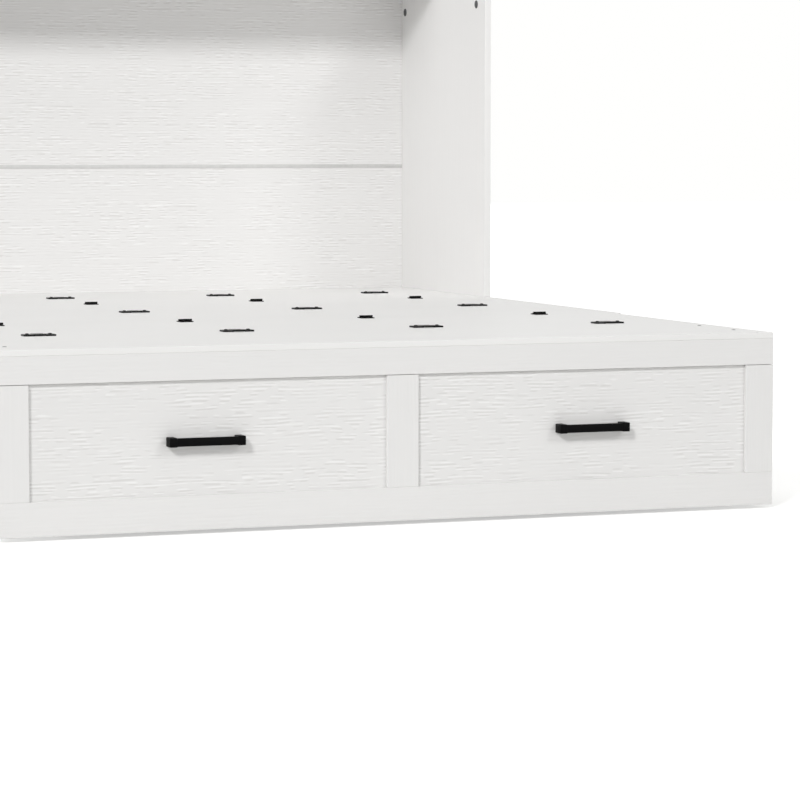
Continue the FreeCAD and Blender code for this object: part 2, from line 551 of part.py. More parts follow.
def pull(x):
    half = PULL_LENGTH / 2.0
    z = PULL_HEIGHT_ABOVE_FLOOR
    front = FRONT_RECESS - PULL_PROJECTION
    bar_half = PULL_BAR_HEIGHT / 2.0
    bar = box(x - half, x + half, front, front + PULL_BAR_DEPTH, z - bar_half, z + bar_half)
    bar = bar.makeFillet(PULL_EDGE_RADIUS, bar.Edges)
    post_half = PULL_POST / 2.0
    post_reach = PULL_POST_HEIGHT / 2.0
    posts = [box(px - post_half, px + post_half, front, FRONT_RECESS, z - post_reach, z + post_reach)
             for px in pull_posts(x)]
    posts = [p.makeFillet(PULL_EDGE_RADIUS, p.Edges) for p in posts]
    hole_end = FRONT_RECESS - PULL_SCREW_IN_POST - SCREW_HOLE_CLEARANCE
    hole_radius = PULL_SCREW_RADIUS + SCREW_HOLE_CLEARANCE
    holes = [rod_y(hole_end, FRONT_RECESS + CUT_MARGIN, px, z, hole_radius) for px in pull_posts(x)]
    return cut_all(bar.fuse(posts).removeSplitter(), holes)


def pull_screw(x):
    z = PULL_HEIGHT_ABOVE_FLOOR
    shank = rod_y(FRONT_RECESS - PULL_SCREW_IN_POST, FRONT_BACK_Y, x, z, PULL_SCREW_RADIUS)
    head = rod_y(FRONT_BACK_Y, FRONT_BACK_Y + PULL_SCREW_HEAD_HEIGHT, x, z, PULL_SCREW_HEAD_RADIUS)
    return shank.fuse(head).removeSplitter()


def build_drawer():
    half = FOOT_WIDTH / 2.0
    pulls = {"left": -PULL_SPACING / 2.0, "right": PULL_SPACING / 2.0}
    screw_x = [px for x in pulls.values() for px in pull_posts(x)]
    front = board(-half, half, FRONT_RECESS, FRONT_BACK_Y, FRONT_FLOOR_GAP, FRONT_TOP)
    holes = [rod_y(FRONT_RECESS - CUT_MARGIN, FRONT_BACK_Y + CUT_MARGIN, x, PULL_HEIGHT_ABOVE_FLOOR,
                   PULL_SCREW_RADIUS + SCREW_HOLE_CLEARANCE) for x in screw_x]
    nodes["drawer_front"] = cut_all(front, holes)
    rail_top = FRONT_FLOOR_GAP + FRONT_BOTTOM_RAIL
    nodes["front_bottom_rail"] = board(-half, half, 0.0, FRONT_RECESS, FRONT_FLOOR_GAP, rail_top)
    middle = FRONT_MIDDLE_STILE / 2.0
    stiles = {"left": (-half, -half + FRONT_END_STILE), "middle": (-middle, middle),
              "right": (half - FRONT_END_STILE, half)}
    for name, (x0, x1) in stiles.items():
        nodes["front_stile_%s" % name] = board(x0, x1, 0.0, FRONT_RECESS, rail_top, FRONT_TOP)
    for name, x in pulls.items():
        nodes["pull_%s" % name] = pull(x)
    nodes["pull_screws"] = group([pull_screw(x) for x in screw_x])

    inner = DRAWER_HALF - DRAWER_SIDE_THICKNESS
    low = CASTER_GROUND
    high = low + DRAWER_SIDE_HEIGHT
    floor = low + DRAWER_BOTTOM_THICKNESS
    nodes["drawer_side_left"] = board(-DRAWER_HALF, -inner, FRONT_BACK_Y, DRAWER_BACK_Y, low, high)
    nodes["drawer_side_right"] = board(inner, DRAWER_HALF, FRONT_BACK_Y, DRAWER_BACK_Y, low, high)
    back = DRAWER_BACK_Y - DRAWER_SIDE_THICKNESS
    nodes["drawer_back"] = board(-inner, inner, back, DRAWER_BACK_Y, low, high)
    nodes["drawer_bottom"] = box(-inner, inner, FRONT_BACK_Y, back, low, floor)


# Casters: fixed forks under the drawer, with plain wheels on riveted axles
FORK_HALF = WHEEL_WIDTH / 2.0 + WHEEL_SIDE_GAP


def caster_fork(x, y):
    plate_half = FORK_HALF + CASTER_CHEEK + CASTER_PLATE_MARGIN
    plate_y = CASTER_CHEEK_HALF_LENGTH + CASTER_PLATE_MARGIN
    plate = box(x - plate_half, x + plate_half, y - plate_y, y + plate_y,
                CASTER_GROUND - CASTER_PLATE, CASTER_GROUND)
    parts = []
    for side in (-1, 1):
        ends = sorted((x + side * FORK_HALF, x + side * (FORK_HALF + CASTER_CHEEK)))
        parts.append(box(ends[0], ends[1], y - CASTER_CHEEK_HALF_LENGTH, y + CASTER_CHEEK_HALF_LENGTH,
                         WHEEL_RADIUS, CASTER_GROUND - CASTER_PLATE / 2.0))
        parts.append(rod_x(ends[0], ends[1], y, WHEEL_RADIUS, CASTER_CHEEK_HALF_LENGTH))
    hole = rod_x(x - plate_half, x + plate_half, y, WHEEL_RADIUS, AXLE_RADIUS + PIN_CLEARANCE)
    return plate.fuse(parts).removeSplitter().cut(hole)


def caster_axle(x, y):
    half = FORK_HALF + CASTER_CHEEK
    axle = rod_x(x - half, x + half, y, WHEEL_RADIUS, AXLE_RADIUS)
    heads = [rod_x(x - half - AXLE_HEAD_HEIGHT, x - half, y, WHEEL_RADIUS, AXLE_HEAD_RADIUS),
             rod_x(x + half, x + half + AXLE_HEAD_HEIGHT, y, WHEEL_RADIUS, AXLE_HEAD_RADIUS)]
    return axle.fuse(heads).removeSplitter()


def caster_wheel(x, y):
    half = WHEEL_WIDTH / 2.0
    wheel = rod_x(x - half, x + half, y, WHEEL_RADIUS, WHEEL_RADIUS)
    rims = [e for e in wheel.Edges if len(e.Vertexes) == 1]
    wheel = wheel.makeFillet(WHEEL_EDGE_RADIUS, rims)
    return wheel.cut(rod_x(x - WHEEL_WIDTH, x + WHEEL_WIDTH, y, WHEEL_RADIUS, AXLE_RADIUS + PIN_CLEARANCE))


def build_casters():
    places = [(x, y) for y in (FRONT_WHEEL_Y, REAR_WHEEL_Y) for x in WHEEL_COLUMNS]
    nodes["caster_forks"] = group([caster_fork(x, y) for x, y in places])
    nodes["caster_axles"] = group([caster_axle(x, y) for x, y in places])
    nodes["front_wheels"] = group([caster_wheel(x, FRONT_WHEEL_Y) for x in WHEEL_COLUMNS])
    nodes["rear_wheels"] = group([caster_wheel(x, REAR_WHEEL_Y) for x in WHEEL_COLUMNS])


build_foot()
build_middle()
build_legs()
build_cabinet()
build_top()
build_drawer()
build_casters()

os.makedirs("parts", exist_ok=True)
for name, shape in nodes.items():
    shape.translate(V(0, -CENTRE_Y, 0))
    shape.exportStep("parts/%s.step" % name)
    facts = (name, len(shape.Solids), shape.Volume, shape.isValid())
    print("%-22s solids %2d  volume %.0f mm3  valid %s" % facts)
print("nodes", len(nodes))
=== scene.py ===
# %% [markdown]
# A cabinet wall bed, opened out for the night
#
# The bed is a low white cabinet whose deck folds in three. It stands open: the deck lies flat at
# knee height and a framed drawer front with two black pulls faces us. The solid parts arrive from the
# CAD model as a fixed frame, so this lesson only dresses them: it finds the camera, mixes a finish for
# every surface, remodels the small fittings with softer edges, and lights the result like a catalogue
# picture.

import json
import math

import bmesh
import bpy
from mathutils import Matrix, Vector


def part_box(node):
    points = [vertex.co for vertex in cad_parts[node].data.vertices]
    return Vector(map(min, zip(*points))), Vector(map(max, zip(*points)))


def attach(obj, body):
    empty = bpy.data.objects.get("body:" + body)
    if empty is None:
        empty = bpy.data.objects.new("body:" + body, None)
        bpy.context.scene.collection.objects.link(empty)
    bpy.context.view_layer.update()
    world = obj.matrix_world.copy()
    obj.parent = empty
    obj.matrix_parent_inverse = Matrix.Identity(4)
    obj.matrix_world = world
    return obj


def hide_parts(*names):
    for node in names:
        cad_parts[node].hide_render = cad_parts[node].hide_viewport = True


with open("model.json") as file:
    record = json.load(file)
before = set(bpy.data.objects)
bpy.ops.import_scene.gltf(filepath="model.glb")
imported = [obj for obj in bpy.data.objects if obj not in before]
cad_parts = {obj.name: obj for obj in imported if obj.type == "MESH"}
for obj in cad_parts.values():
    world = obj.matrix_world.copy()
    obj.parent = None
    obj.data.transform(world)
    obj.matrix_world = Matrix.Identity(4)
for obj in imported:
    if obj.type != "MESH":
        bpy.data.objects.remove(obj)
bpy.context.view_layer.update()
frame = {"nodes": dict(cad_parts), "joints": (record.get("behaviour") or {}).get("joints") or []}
nodes = frame["nodes"]

# %% [markdown]
# The camera
#
# A catalogue picture is taken with a long lens from a few metres away, so that the bed's edges stay
# nearly parallel. We could frame it by eye, but the picture's corners give an exact answer: the drawer
# front's right edge, the cabinet's corner and the seam in its back fix where the lens stood. A camera
# looks along its own -Z, so it is tipped up by 90 degrees, less the few degrees that it looks down.

# %% Place the camera
LENS_PLACE = (-2.0996, -6.6248, 0.7331)
LOOK_DOWN = 4.712
LOOK_RIGHT = 20.642
LENS_LENGTH = 138.5
SENSOR_WIDTH = 36.0
FARTHEST_SEEN = 100.0


def in_scene(name, data):
    """Makes an object for a mesh, camera or lamp, at the origin, and links it to the scene."""
    made = bpy.data.objects.new(name, data)
    bpy.context.scene.collection.objects.link(made)
    return made


lens = bpy.data.cameras.new("catalogue_lens")
lens.lens = LENS_LENGTH
lens.sensor_width = SENSOR_WIDTH
lens.clip_end = FARTHEST_SEEN
camera = in_scene("catalogue_camera", lens)
camera.location = LENS_PLACE
camera.rotation_euler = (math.radians(90.0 - LOOK_DOWN), 0.0, math.radians(-LOOK_RIGHT))
bpy.context.scene.camera = camera
print("camera at", [round(v, 3) for v in camera.location], "with a", LENS_LENGTH, "mm lens")

# %% [markdown]
# Helpers for finishes
#
# Every finish below is a small network of shader nodes. Four helpers keep the cells short. One starts a
# material and hands back its shader, one adds a node and sets its values in one go, one links two nodes,
# and one lays a noise over a surface. Patterns read Object coordinates. All pieces sit at the origin, so
# these are metres in the room, and a grain keeps its real scale on a long board and on a short one.

# %% Four helpers for materials
NOISE_ROUGHNESS = 0.6


def new_finish(name, roughness, specular):
    """A node material with constant gloss. Returns the material and its shader node."""
    finish = bpy.data.materials.new(name)
    finish.use_nodes = True
    shader = finish.node_tree.nodes["Principled BSDF"]
    shader.inputs["Roughness"].default_value = roughness
    shader.inputs["Specular IOR Level"].default_value = specular
    return finish, shader


def add(owner, kind, inputs=None, **settings):
    """Adds a node to a material or the world, sets its properties and the inputs that are named."""
    node = owner.node_tree.nodes.new(kind)
    for name, value in settings.items():
        setattr(node, name, value)
    for name, value in (inputs or {}).items():
        node.inputs[name].default_value = value
    return node


def wire(owner, source, output, target, socket):
    """Links an output of one node to an input of another."""
    owner.node_tree.links.new(source.outputs[output], target.inputs[socket])


def stretched_noise(finish, scale, detail):
    """Noise on Object coordinates, squeezed by a scale per axis: a small scale makes a long streak."""
    place = add(finish, "ShaderNodeTexCoord")
    squeeze = add(finish, "ShaderNodeMapping", {"Scale": scale})
    noise = add(finish, "ShaderNodeTexNoise", {"Scale": 1.0, "Detail": detail,
                                               "Roughness": NOISE_ROUGHNESS})
    wire(finish, place, "Object", squeeze, "Vector")
    wire(finish, squeeze, "Vector", noise, "Vector")
    return noise


print("helpers ready")

# %% [markdown]
# White wood-grain laminate
#
# The boards are covered with a white foil that is pressed with a brushed grain: thin straight strokes, a
# touch lighter or darker than the ground, which follow the length of each board and come in drifts with
# calm patches between them. These light and dark lines are partly the foil's own tone and partly painted
# highlight and shade of the pressed relief. An image could carry that grain, but noise that is stretched
# along one axis gives it without any file, at a true scale and with no seam. Four layers do it: long faint
# streaks for the tone, a sine wave across the board whose fine lines sway a little, breaks that chop these
# lines to the length of a stroke, and wide patches that fade them in and out. The strokes also press into
# the surface through a bump. A cell is the (length, width) of one spot of a noise, in metres, and a detail
# says how much finer noise is laid over it.

# %% The layers of the grain
STREAK_CELL, STREAK_DETAIL = (0.200, 0.0060), 3.0
LINE_PITCH = 0.0076
SWAY = 6.5
SWAY_CELL, SWAY_DETAIL = (0.100, 0.014), 0.0
BREAK_CELL, BREAK_DETAIL = (0.026, 0.0090), 0.5
PATCH_CELL, PATCH_DETAIL = (0.130, 0.045), 1.0
PALE = (1.0, 1.0, 1.0, 1.0)
GROUND = (0.5, 0.5, 0.5, 1.0)
INK = (0.0, 0.0, 0.0, 1.0)
FAINT = (0.22, 0.22, 0.22, 1.0)
# The pale and dark line stops are partly the foil's grain and partly painted highlight and shade of its
# pressed ridges.
LINE_STOPS = [(0.10, PALE), (0.40, GROUND), (0.60, GROUND), (0.90, INK)]
BREAK_STOPS = [(0.46, INK), (0.57, PALE)]
PATCH_STOPS = [(0.38, FAINT), (0.56, PALE)]


def grain_noise(finish, axis, cell, detail):
    """Noise whose cells lie along the axis 0, 1 or 2."""
    length, width = cell
    return stretched_noise(finish, tuple(1.0 / (length if i == axis else width) for i in range(3)), detail)


def ramp(finish, source, stops, output="Fac"):
    """A colour ramp fed by a noise. The stops are (position, colour) pairs, two or more."""
    node = add(finish, "ShaderNodeValToRGB")
    elements = node.color_ramp.elements
    while len(elements) < len(stops):
        elements.new(0.5)
    for element, (position, colour) in zip(elements, stops):
        element.position = position
        element.color = colour
    wire(finish, source, output, node, "Fac")
    return node


def swaying_lines(finish, axis):
    """Fine lines along the axis, from 0 to 1: a sine of the distance across, shifted by a soft noise."""
    per_metre = math.tau / LINE_PITCH
    place = add(finish, "ShaderNodeTexCoord")
    across = add(finish, "ShaderNodeVectorMath", operation="DOT_PRODUCT")
    across.inputs[1].default_value = tuple(0.0 if i == axis else per_metre for i in range(3))
    phase = add(finish, "ShaderNodeMath", {1: SWAY}, operation="MULTIPLY_ADD")
    wave = add(finish, "ShaderNodeMath", operation="SINE")
    level = add(finish, "ShaderNodeMapRange", {"From Min": -1.0})
    wire(finish, place, "Object", across, 0)
    wire(finish, grain_noise(finish, axis, SWAY_CELL, SWAY_DETAIL), "Fac", phase, 0)
    wire(finish, across, "Value", phase, 2)
    wire(finish, phase, "Value", wave, 0)
    wire(finish, wave, "Value", level, "Value")
    return level


print("grain lines every", LINE_PITCH, "m")

# %% [markdown]
# Mixing the grained foil
#
# The layers come together in one finish. The lines show only where breaks and patches let them, and an
# overlay lays them into the tone, as the foil's grain and as painted highlight and shade of its relief. The
# same pattern feeds the bump. A framed front and a plain back have strong strokes. Narrow rails and stiles
# show almost none.

# %% Six grained whites
FOIL_ROUGHNESS = 0.52
FOIL_SPECULAR = 0.35
PRESS_STRENGTH = 0.8
DIM_AT, BRIGHT_AT = 0.38, 0.62


def shade(tone, factor):
    """The tone, made brighter or darker, as a colour with alpha."""
    return tuple(min(1.0, c * factor) for c in tone) + (1.0,)


def grained_white(name, axis, tone, streak_depth, stroke_depth, press):
    """White foil whose grain follows an axis. The depths are shares of the tone; press is in metres."""
    finish, shader = new_finish(name, FOIL_ROUGHNESS, FOIL_SPECULAR)
    dim, bright = shade(tone, 1.0 - streak_depth), shade(tone, 1.0 + streak_depth)
    streaks = grain_noise(finish, axis, STREAK_CELL, STREAK_DETAIL)
    tint = ramp(finish, streaks, [(DIM_AT, dim), (BRIGHT_AT, bright)])
    lines = ramp(finish, swaying_lines(finish, axis), LINE_STOPS, "Result")
    breaks = ramp(finish, grain_noise(finish, axis, BREAK_CELL, BREAK_DETAIL), BREAK_STOPS)
    patches = ramp(finish, grain_noise(finish, axis, PATCH_CELL, PATCH_DETAIL), PATCH_STOPS)
    reach = add(finish, "ShaderNodeMixRGB", {"Fac": 1.0}, blend_type="MULTIPLY")
    drifts = add(finish, "ShaderNodeMixRGB", {"Color1": GROUND})
    # Overlay of the pale and dark lines on the tone: the foil's grain together with painted highlight and
    # shade of its pressed relief.
    inked_and_shaded = add(finish, "ShaderNodeMixRGB", {"Fac": stroke_depth}, blend_type="OVERLAY")
    relief = add(finish, "ShaderNodeBump", {"Strength": PRESS_STRENGTH, "Distance": press})
    wire(finish, breaks, "Color", reach, "Color1")
    wire(finish, patches, "Color", reach, "Color2")
    wire(finish, reach, "Color", drifts, "Fac")
    wire(finish, lines, "Color", drifts, "Color2")
    wire(finish, tint, "Color", inked_and_shaded, "Color1")
    wire(finish, drifts, "Color", inked_and_shaded, "Color2")
    wire(finish, inked_and_shaded, "Color", shader, "Base Color")
    wire(finish, drifts, "Color", relief, "Height")
    wire(finish, relief, "Normal", shader, "Normal")
    return finish


ACROSS, ALONG, UPRIGHT = range(3)
DEEP_PRESS = 0.0002
SLIGHT_PRESS = 0.0001
BOARD_WHITE = (0.80, 0.794, 0.787)
# The front and the boards that share its finishes take a slightly darker copy of the board white: painted
# shade that tones down the lamps' stronger light on the front.
SHADED_FRONT_WHITE = (0.776, 0.770, 0.763)
back_white = grained_white("back_white_across", ACROSS, BOARD_WHITE, 0.005, 0.46, DEEP_PRESS)
panel_white = grained_white("panel_white_across", ACROSS, SHADED_FRONT_WHITE, 0.004, 0.38, DEEP_PRESS)
rail_white = grained_white("rail_white_across", ACROSS, SHADED_FRONT_WHITE, 0.006, 0.04, SLIGHT_PRESS)
rail_white_deep = grained_white("rail_white_along", ALONG, SHADED_FRONT_WHITE, 0.006, 0.04, SLIGHT_PRESS)
stile_white = grained_white("stile_white_upright", UPRIGHT, SHADED_FRONT_WHITE, 0.006, 0.03, SLIGHT_PRESS)
side_white = grained_white("side_white_upright", UPRIGHT, BOARD_WHITE, 0.006, 0.03, SLIGHT_PRESS)
print("six white foils")

# %% [markdown]
# Smooth deck white
#
# The deck carries the mattress, so its foil is plain and smooth. A flat colour would look like plastic
# film, so a broad, faint cloudiness changes the tone, and a very fine pebble in the bump gives the soft
# sheen of melamine. The drawer's box is lined with the same kind of foil, a little duller.

# %% The smooth foils
MELAMINE_SPECULAR = 0.4
CLOUD_SCALE, CLOUD_DETAIL = 2.6, 3.0
CLOUD_FROM, CLOUD_TO = 0.35, 0.65
PEBBLE_SCALE, PEBBLE_DETAIL = 900.0, 1.0
PEBBLE_DEPTH = 0.00006
PEBBLE_STRENGTH = 0.25


def smooth_white(name, tone, cloud, roughness):
    """White foil with a faint cloudiness, which is a share of the tone."""
    finish, shader = new_finish(name, roughness, MELAMINE_SPECULAR)
    drift = stretched_noise(finish, (CLOUD_SCALE,) * 3, CLOUD_DETAIL)
    dim, bright = shade(tone, 1.0 - cloud), shade(tone, 1.0 + cloud)
    tint = ramp(finish, drift, [(CLOUD_FROM, dim), (CLOUD_TO, bright)])
    pebble = stretched_noise(finish, (PEBBLE_SCALE,) * 3, PEBBLE_DETAIL)
    relief = add(finish, "ShaderNodeBump", {"Strength": PEBBLE_STRENGTH, "Distance": PEBBLE_DEPTH})
    wire(finish, tint, "Color", shader, "Base Color")
    wire(finish, pebble, "Fac", relief, "Height")
    wire(finish, relief, "Normal", shader, "Normal")
    return finish


deck_white = smooth_white("deck_white", (0.815, 0.81, 0.80), 0.008, 0.45)
drawer_white = smooth_white("drawer_white", (0.79, 0.785, 0.77), 0.010, 0.5)
print("two smooth whites")

# %% [markdown]
# Black powder coat, zinc and moulded plastics
#
# The hinges, loops, legs and pulls are coated black. Powder coat melts into a fine orange-peel skin, so
# its bump is a small soft noise, and its gloss wanders a little. The strap loops have a slightly shinier
# coat: seen at a low angle their tops turn grey while the front edges stay black. Zinc plate is a true
# metal, with fine brush lines in its skin. The wheels are grey nylon, the round caps dark plastic and the
# strip in the back pale plastic, all with the faint grain that a mould or a die leaves.

# %% Coated and plated metal, moulded plastic
BLOTCH_SCALE, BLOTCH_DETAIL = 60.0, 2.0
BLOTCH_SWING = 0.12
SKIN_STRENGTH = 0.4
SKIN_DETAIL = 2.0


def skinned(name, tone, gloss, skin_scale, skin_depth, metal=0.0, specular=0.45):
    """A finish whose roughness wanders between two values and whose skin has a fine relief."""
    finish, shader = new_finish(name, gloss[0], specular)
    shader.inputs["Metallic"].default_value = metal
    blotch = stretched_noise(finish, (BLOTCH_SCALE,) * 3, BLOTCH_DETAIL)
    wander = add(finish, "ShaderNodeMapRange", {"To Min": gloss[0], "To Max": gloss[1]})
    dim, bright = shade(tone, 1.0 - BLOTCH_SWING), shade(tone, 1.0 + BLOTCH_SWING)
    tint = ramp(finish, blotch, [(0.0, dim), (1.0, bright)])
    skin = stretched_noise(finish, skin_scale, SKIN_DETAIL)
    relief = add(finish, "ShaderNodeBump", {"Strength": SKIN_STRENGTH, "Distance": skin_depth})
    wire(finish, blotch, "Fac", wander, "Value")
    wire(finish, wander, "Result", shader, "Roughness")
    wire(finish, tint, "Color", shader, "Base Color")
    wire(finish, skin, "Fac", relief, "Height")
    wire(finish, relief, "Normal", shader, "Normal")
    return finish


SATIN_BLACK = (0.003, 0.003, 0.0032)
ORANGE_PEEL = (1400.0,) * 3
BRUSHED = (90.0, 2200.0, 2200.0)
MOULDED = (1100.0,) * 3
EXTRUDED = (900.0,) * 3
powder_black = skinned("powder_black", SATIN_BLACK, (0.36, 0.46), ORANGE_PEEL, 0.00006, specular=0.04)
strap_black = skinned("strap_black", SATIN_BLACK, (0.30, 0.38), ORANGE_PEEL, 0.00006, specular=0.10)
zinc_plate = skinned("zinc_plate", (0.60, 0.60, 0.61), (0.26, 0.40), BRUSHED, 0.00003, metal=1.0)
wheel_nylon = skinned("wheel_nylon", (0.20, 0.20, 0.21), (0.45, 0.58), MOULDED, 0.00005)
strip_grey = skinned("strip_grey", (0.62, 0.617, 0.61), (0.40, 0.50), EXTRUDED, 0.00004)
cap_plastic = skinned("cap_plastic", (0.055, 0.055, 0.058), (0.42, 0.52), MOULDED, 0.00005)
print("six hardware finishes")

# %% [markdown]
# Which board gets which finish
#
# The grain of a real board runs along its length. So the finish is chosen by how a board lies: across the
# bed, along it, or upright. The CAD meshes stay as they are, and only their material slot is filled.

# %% Hand out the finishes
FINISH_OF = {
    back_white: ("back_board_lower", "back_board_upper"),
    panel_white: ("drawer_front", "middle_left_panel", "middle_right_panel", "fixed_top", "lid_panel"),
    rail_white: ("foot_apron", "front_bottom_rail", "foot_rear_rail", "middle_front_rail",
                 "middle_rear_rail", "rear_deck_rail", "deck_cleat_rear", "rear_stretcher"),
    rail_white_deep: ("foot_left_rail", "foot_right_rail", "foot_centre_rail", "middle_left_rail",
                      "middle_right_rail", "middle_centre_rail", "deck_cleat_left", "deck_cleat_right"),
    stile_white: ("front_stile_left", "front_stile_middle", "front_stile_right"),
    side_white: ("side_panel_left", "side_panel_right"),
    deck_white: ("foot_deck_board", "middle_deck_board", "rear_deck_board"),
    drawer_white: ("drawer_side_left", "drawer_side_right", "drawer_back", "drawer_bottom"),
    powder_black: ("foot_hinge_leaves", "middle_hinge_leaves", "rear_hinge_leaves", "leg_left", "leg_right",
                   "leg_pivot_bolts"),
    zinc_plate: ("foot_hinge_pins", "cabinet_hinge_pins", "top_hinge_leaves", "lid_hinge_leaves",
                 "wall_brackets", "caster_forks", "caster_axles", "pull_screws"),
    cap_plastic: ("fitting_caps",),
}


def fill_slots(piece, finish):
    """Gives the whole piece one finish."""
    piece.data.materials.clear()
    piece.data.materials.append(finish)


for finish, names in FINISH_OF.items():
    for name in names:
        fill_slots(nodes[name], finish)
print("finished", sum(len(names) for names in FINISH_OF.values()), "CAD nodes")

# %% [markdown]
# From bmesh to a piece
#
# New pieces are modelled in a bmesh, Blender's editable mesh. When a shape is done, its faces are turned
# outwards, it becomes an object at the origin with its finish, it hangs on the body of the bed that
# carries it, and the CAD nodes that it stands for are hidden.

# %% Helpers for new pieces
MERGE_DISTANCE = 1e-7
SOFT_EDGE = math.radians(35.0)


def close_up(shape):
    """Merges doubled points and turns the faces outwards."""
    bmesh.ops.remove_doubles(shape, verts=shape.verts, dist=MERGE_DISTANCE)
    bmesh.ops.recalc_face_normals(shape, faces=shape.faces)


def settle(shape, name):
    """Turns a bmesh into a mesh and frees it."""
    mesh = bpy.data.meshes.new(name)
    shape.to_mesh(mesh)
    shape.free()
    return mesh


def make_piece(shape, name, body, finish, stands_for=()):
    """Turns a bmesh into a riding object with its faces outwards and its sharp edges kept."""
    close_up(shape)
    for face in shape.faces:
        face.smooth = True
    for edge in shape.edges:
        edge.smooth = edge.is_manifold and edge.calc_face_angle() < SOFT_EDGE
    piece = in_scene(name, settle(shape, name))
    fill_slots(piece, finish)
    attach(piece, body)
    if stands_for:
        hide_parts(*stands_for)
    return piece


def block(shape, low, high, round_off, segments=3):
    """Adds a box between two corners, with its edges rounded off by a bevel."""
    size = Vector(high) - Vector(low)
    middle = (Vector(high) + Vector(low)) / 2.0
    made = bmesh.ops.create_cube(shape, size=1.0)
    bmesh.ops.scale(shape, vec=size, verts=made["verts"])
    bmesh.ops.translate(shape, vec=middle, verts=made["verts"])
    edges = list({e for v in made["verts"] for e in v.link_edges})
    bmesh.ops.bevel(shape, geom=edges, offset=round_off, segments=segments, profile=0.5,
                    affect="EDGES", material=-1)


def turned(shape, profile, centre, axis, steps):
    """Spins a profile of (radius, distance along the axis) points into a closed round form."""
    spin_axis = Vector(axis)
    side = spin_axis.orthogonal().normalized()
    origin = Vector(centre)
    points = [shape.verts.new(origin + side * r + spin_axis * d) for r, d in profile]
    edges = [shape.edges.new(pair) for pair in zip(points, points[1:])]
    bmesh.ops.spin(shape, geom=points + edges, cent=origin, axis=spin_axis, angle=math.tau,
                   steps=steps, use_merge=True, use_duplicate=False)


print("piece helpers ready")

# %% [markdown]
# The drawer pulls
#
# Each pull is a flat bar between two posts that stand a little prouder than the bar. One cube per part is
# enough. What makes it read as cast metal is the rounding: a bevel of one or two millimetres on every edge
# catches a thin line of light. The places come from the CAD node that the piece stands for.

# %% Model the pulls
POST_WIDTH = 0.015
BAR_HEIGHT = 0.016
BAR_DEPTH = 0.009
BAR_SET_BACK = 0.0004
LET_IN = 0.003
POST_ROUND = 0.0016
BAR_ROUND = 0.0020


def drawer_pull(name):
    """Two posts as high as the CAD pull, and a bar that is let into both."""
    low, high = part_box(name)
    middle_z = (low.z + high.z) / 2.0
    shape = bmesh.new()
    for x in (low.x, high.x - POST_WIDTH):
        block(shape, (x, low.y, low.z), (x + POST_WIDTH, high.y, high.z), POST_ROUND)
    bar_x = POST_WIDTH - LET_IN
    bar_y = low.y + BAR_SET_BACK
    block(shape, (low.x + bar_x, bar_y, middle_z - BAR_HEIGHT / 2.0),
          (high.x - bar_x, bar_y + BAR_DEPTH, middle_z + BAR_HEIGHT / 2.0), BAR_ROUND)
    return make_piece(shape, "satin_" + name, "drawer", powder_black, (name,))


for name in ("pull_left", "pull_right"):
    piece = drawer_pull(name)
    print(piece.name, "has", len(piece.data.polygons), "faces")

# %% [markdown]
# Screws on the deck
#
# Every hinge leaf and strap loop is held by two pan-head screws. The CAD gives plain buttons. A real head
# is domed and has a cross recess, so one head is turned from a short profile, and a cross of two bars is
# cut out of it with a Boolean. That one mesh is then copied to each place. The profile is given in shares
# of the head's radius and height.

# %% One pan head with a cross recess
HEAD_RADIUS = 0.0040
HEAD_HEIGHT = 0.0020
HEAD_PROFILE = [(0.0, 0.0), (1.0, 0.0), (1.0, 0.35), (0.86, 0.75), (0.55, 0.96), (0.0, 1.0)]
HEAD_STEPS = 20
RECESS_LENGTH = 0.0042
RECESS_WIDTH = 0.0010
RECESS_DEPTH = 0.0011
RECESS_ROUND = 0.0001
ORIGIN = (0.0, 0.0, 0.0)
UP = (0.0, 0.0, 1.0)


def pan_head():
    """A domed head with a cross recess, its seat at the origin. Returns its mesh."""
    dome = bmesh.new()
    turned(dome, [(HEAD_RADIUS * r, HEAD_HEIGHT * h) for r, h in HEAD_PROFILE], ORIGIN, UP, HEAD_STEPS)
    cross = bmesh.new()
    deep = HEAD_HEIGHT - RECESS_DEPTH
    for x, y in ((RECESS_LENGTH, RECESS_WIDTH), (RECESS_WIDTH, RECESS_LENGTH)):
        block(cross, (-x / 2.0, -y / 2.0, deep), (x / 2.0, y / 2.0, HEAD_HEIGHT * 2.0), RECESS_ROUND, 1)
    close_up(dome)
    close_up(cross)
    head = in_scene("head_blank", settle(dome, "head_blank"))
    cutter = in_scene("head_cutter", settle(cross, "head_cutter"))
    carve = head.modifiers.new("recess", "BOOLEAN")
    carve.operation = "DIFFERENCE"
    carve.object = cutter
    carve.use_self = True
    bpy.context.view_layer.update()
    carved = bpy.data.meshes.new_from_object(head.evaluated_get(bpy.context.evaluated_depsgraph_get()))
    for spare in (head, cutter):
        bpy.data.objects.remove(spare)
    return carved


screw_head = pan_head()
print("screw head:", len(screw_head.polygons), "faces")

# %% [markdown]
# Where the screws go
#
# The hinges and loops stand in four columns. Hinge screws sit two to a leaf, on both sides of a fold, and
# loop screws sit on the two ears. The frame knows the places: a fold lies where its joint turns, and the
# boxes of the CAD loops give the deck's top, the outermost columns and the three rows.

# %% Place the screws
LEAF_PLATE = 0.0016
LEAF_SCREW_X = 0.008
LEAF_SCREW_Y = 0.0106
LOOP_LENGTH = 0.066
LOOP_SCREW_X = 0.0235
EAR_PLATE = 0.0032
COLUMN_COUNT = 4
DRIVER_TURN = 0.9
BODY_OF = {"foot": "foot_section", "middle": "middle_section", "rear": "cabinet"}


def row_y(name):
    """The Y of the middle of a CAD node."""
    low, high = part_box(name)
    return (low.y + high.y) / 2.0


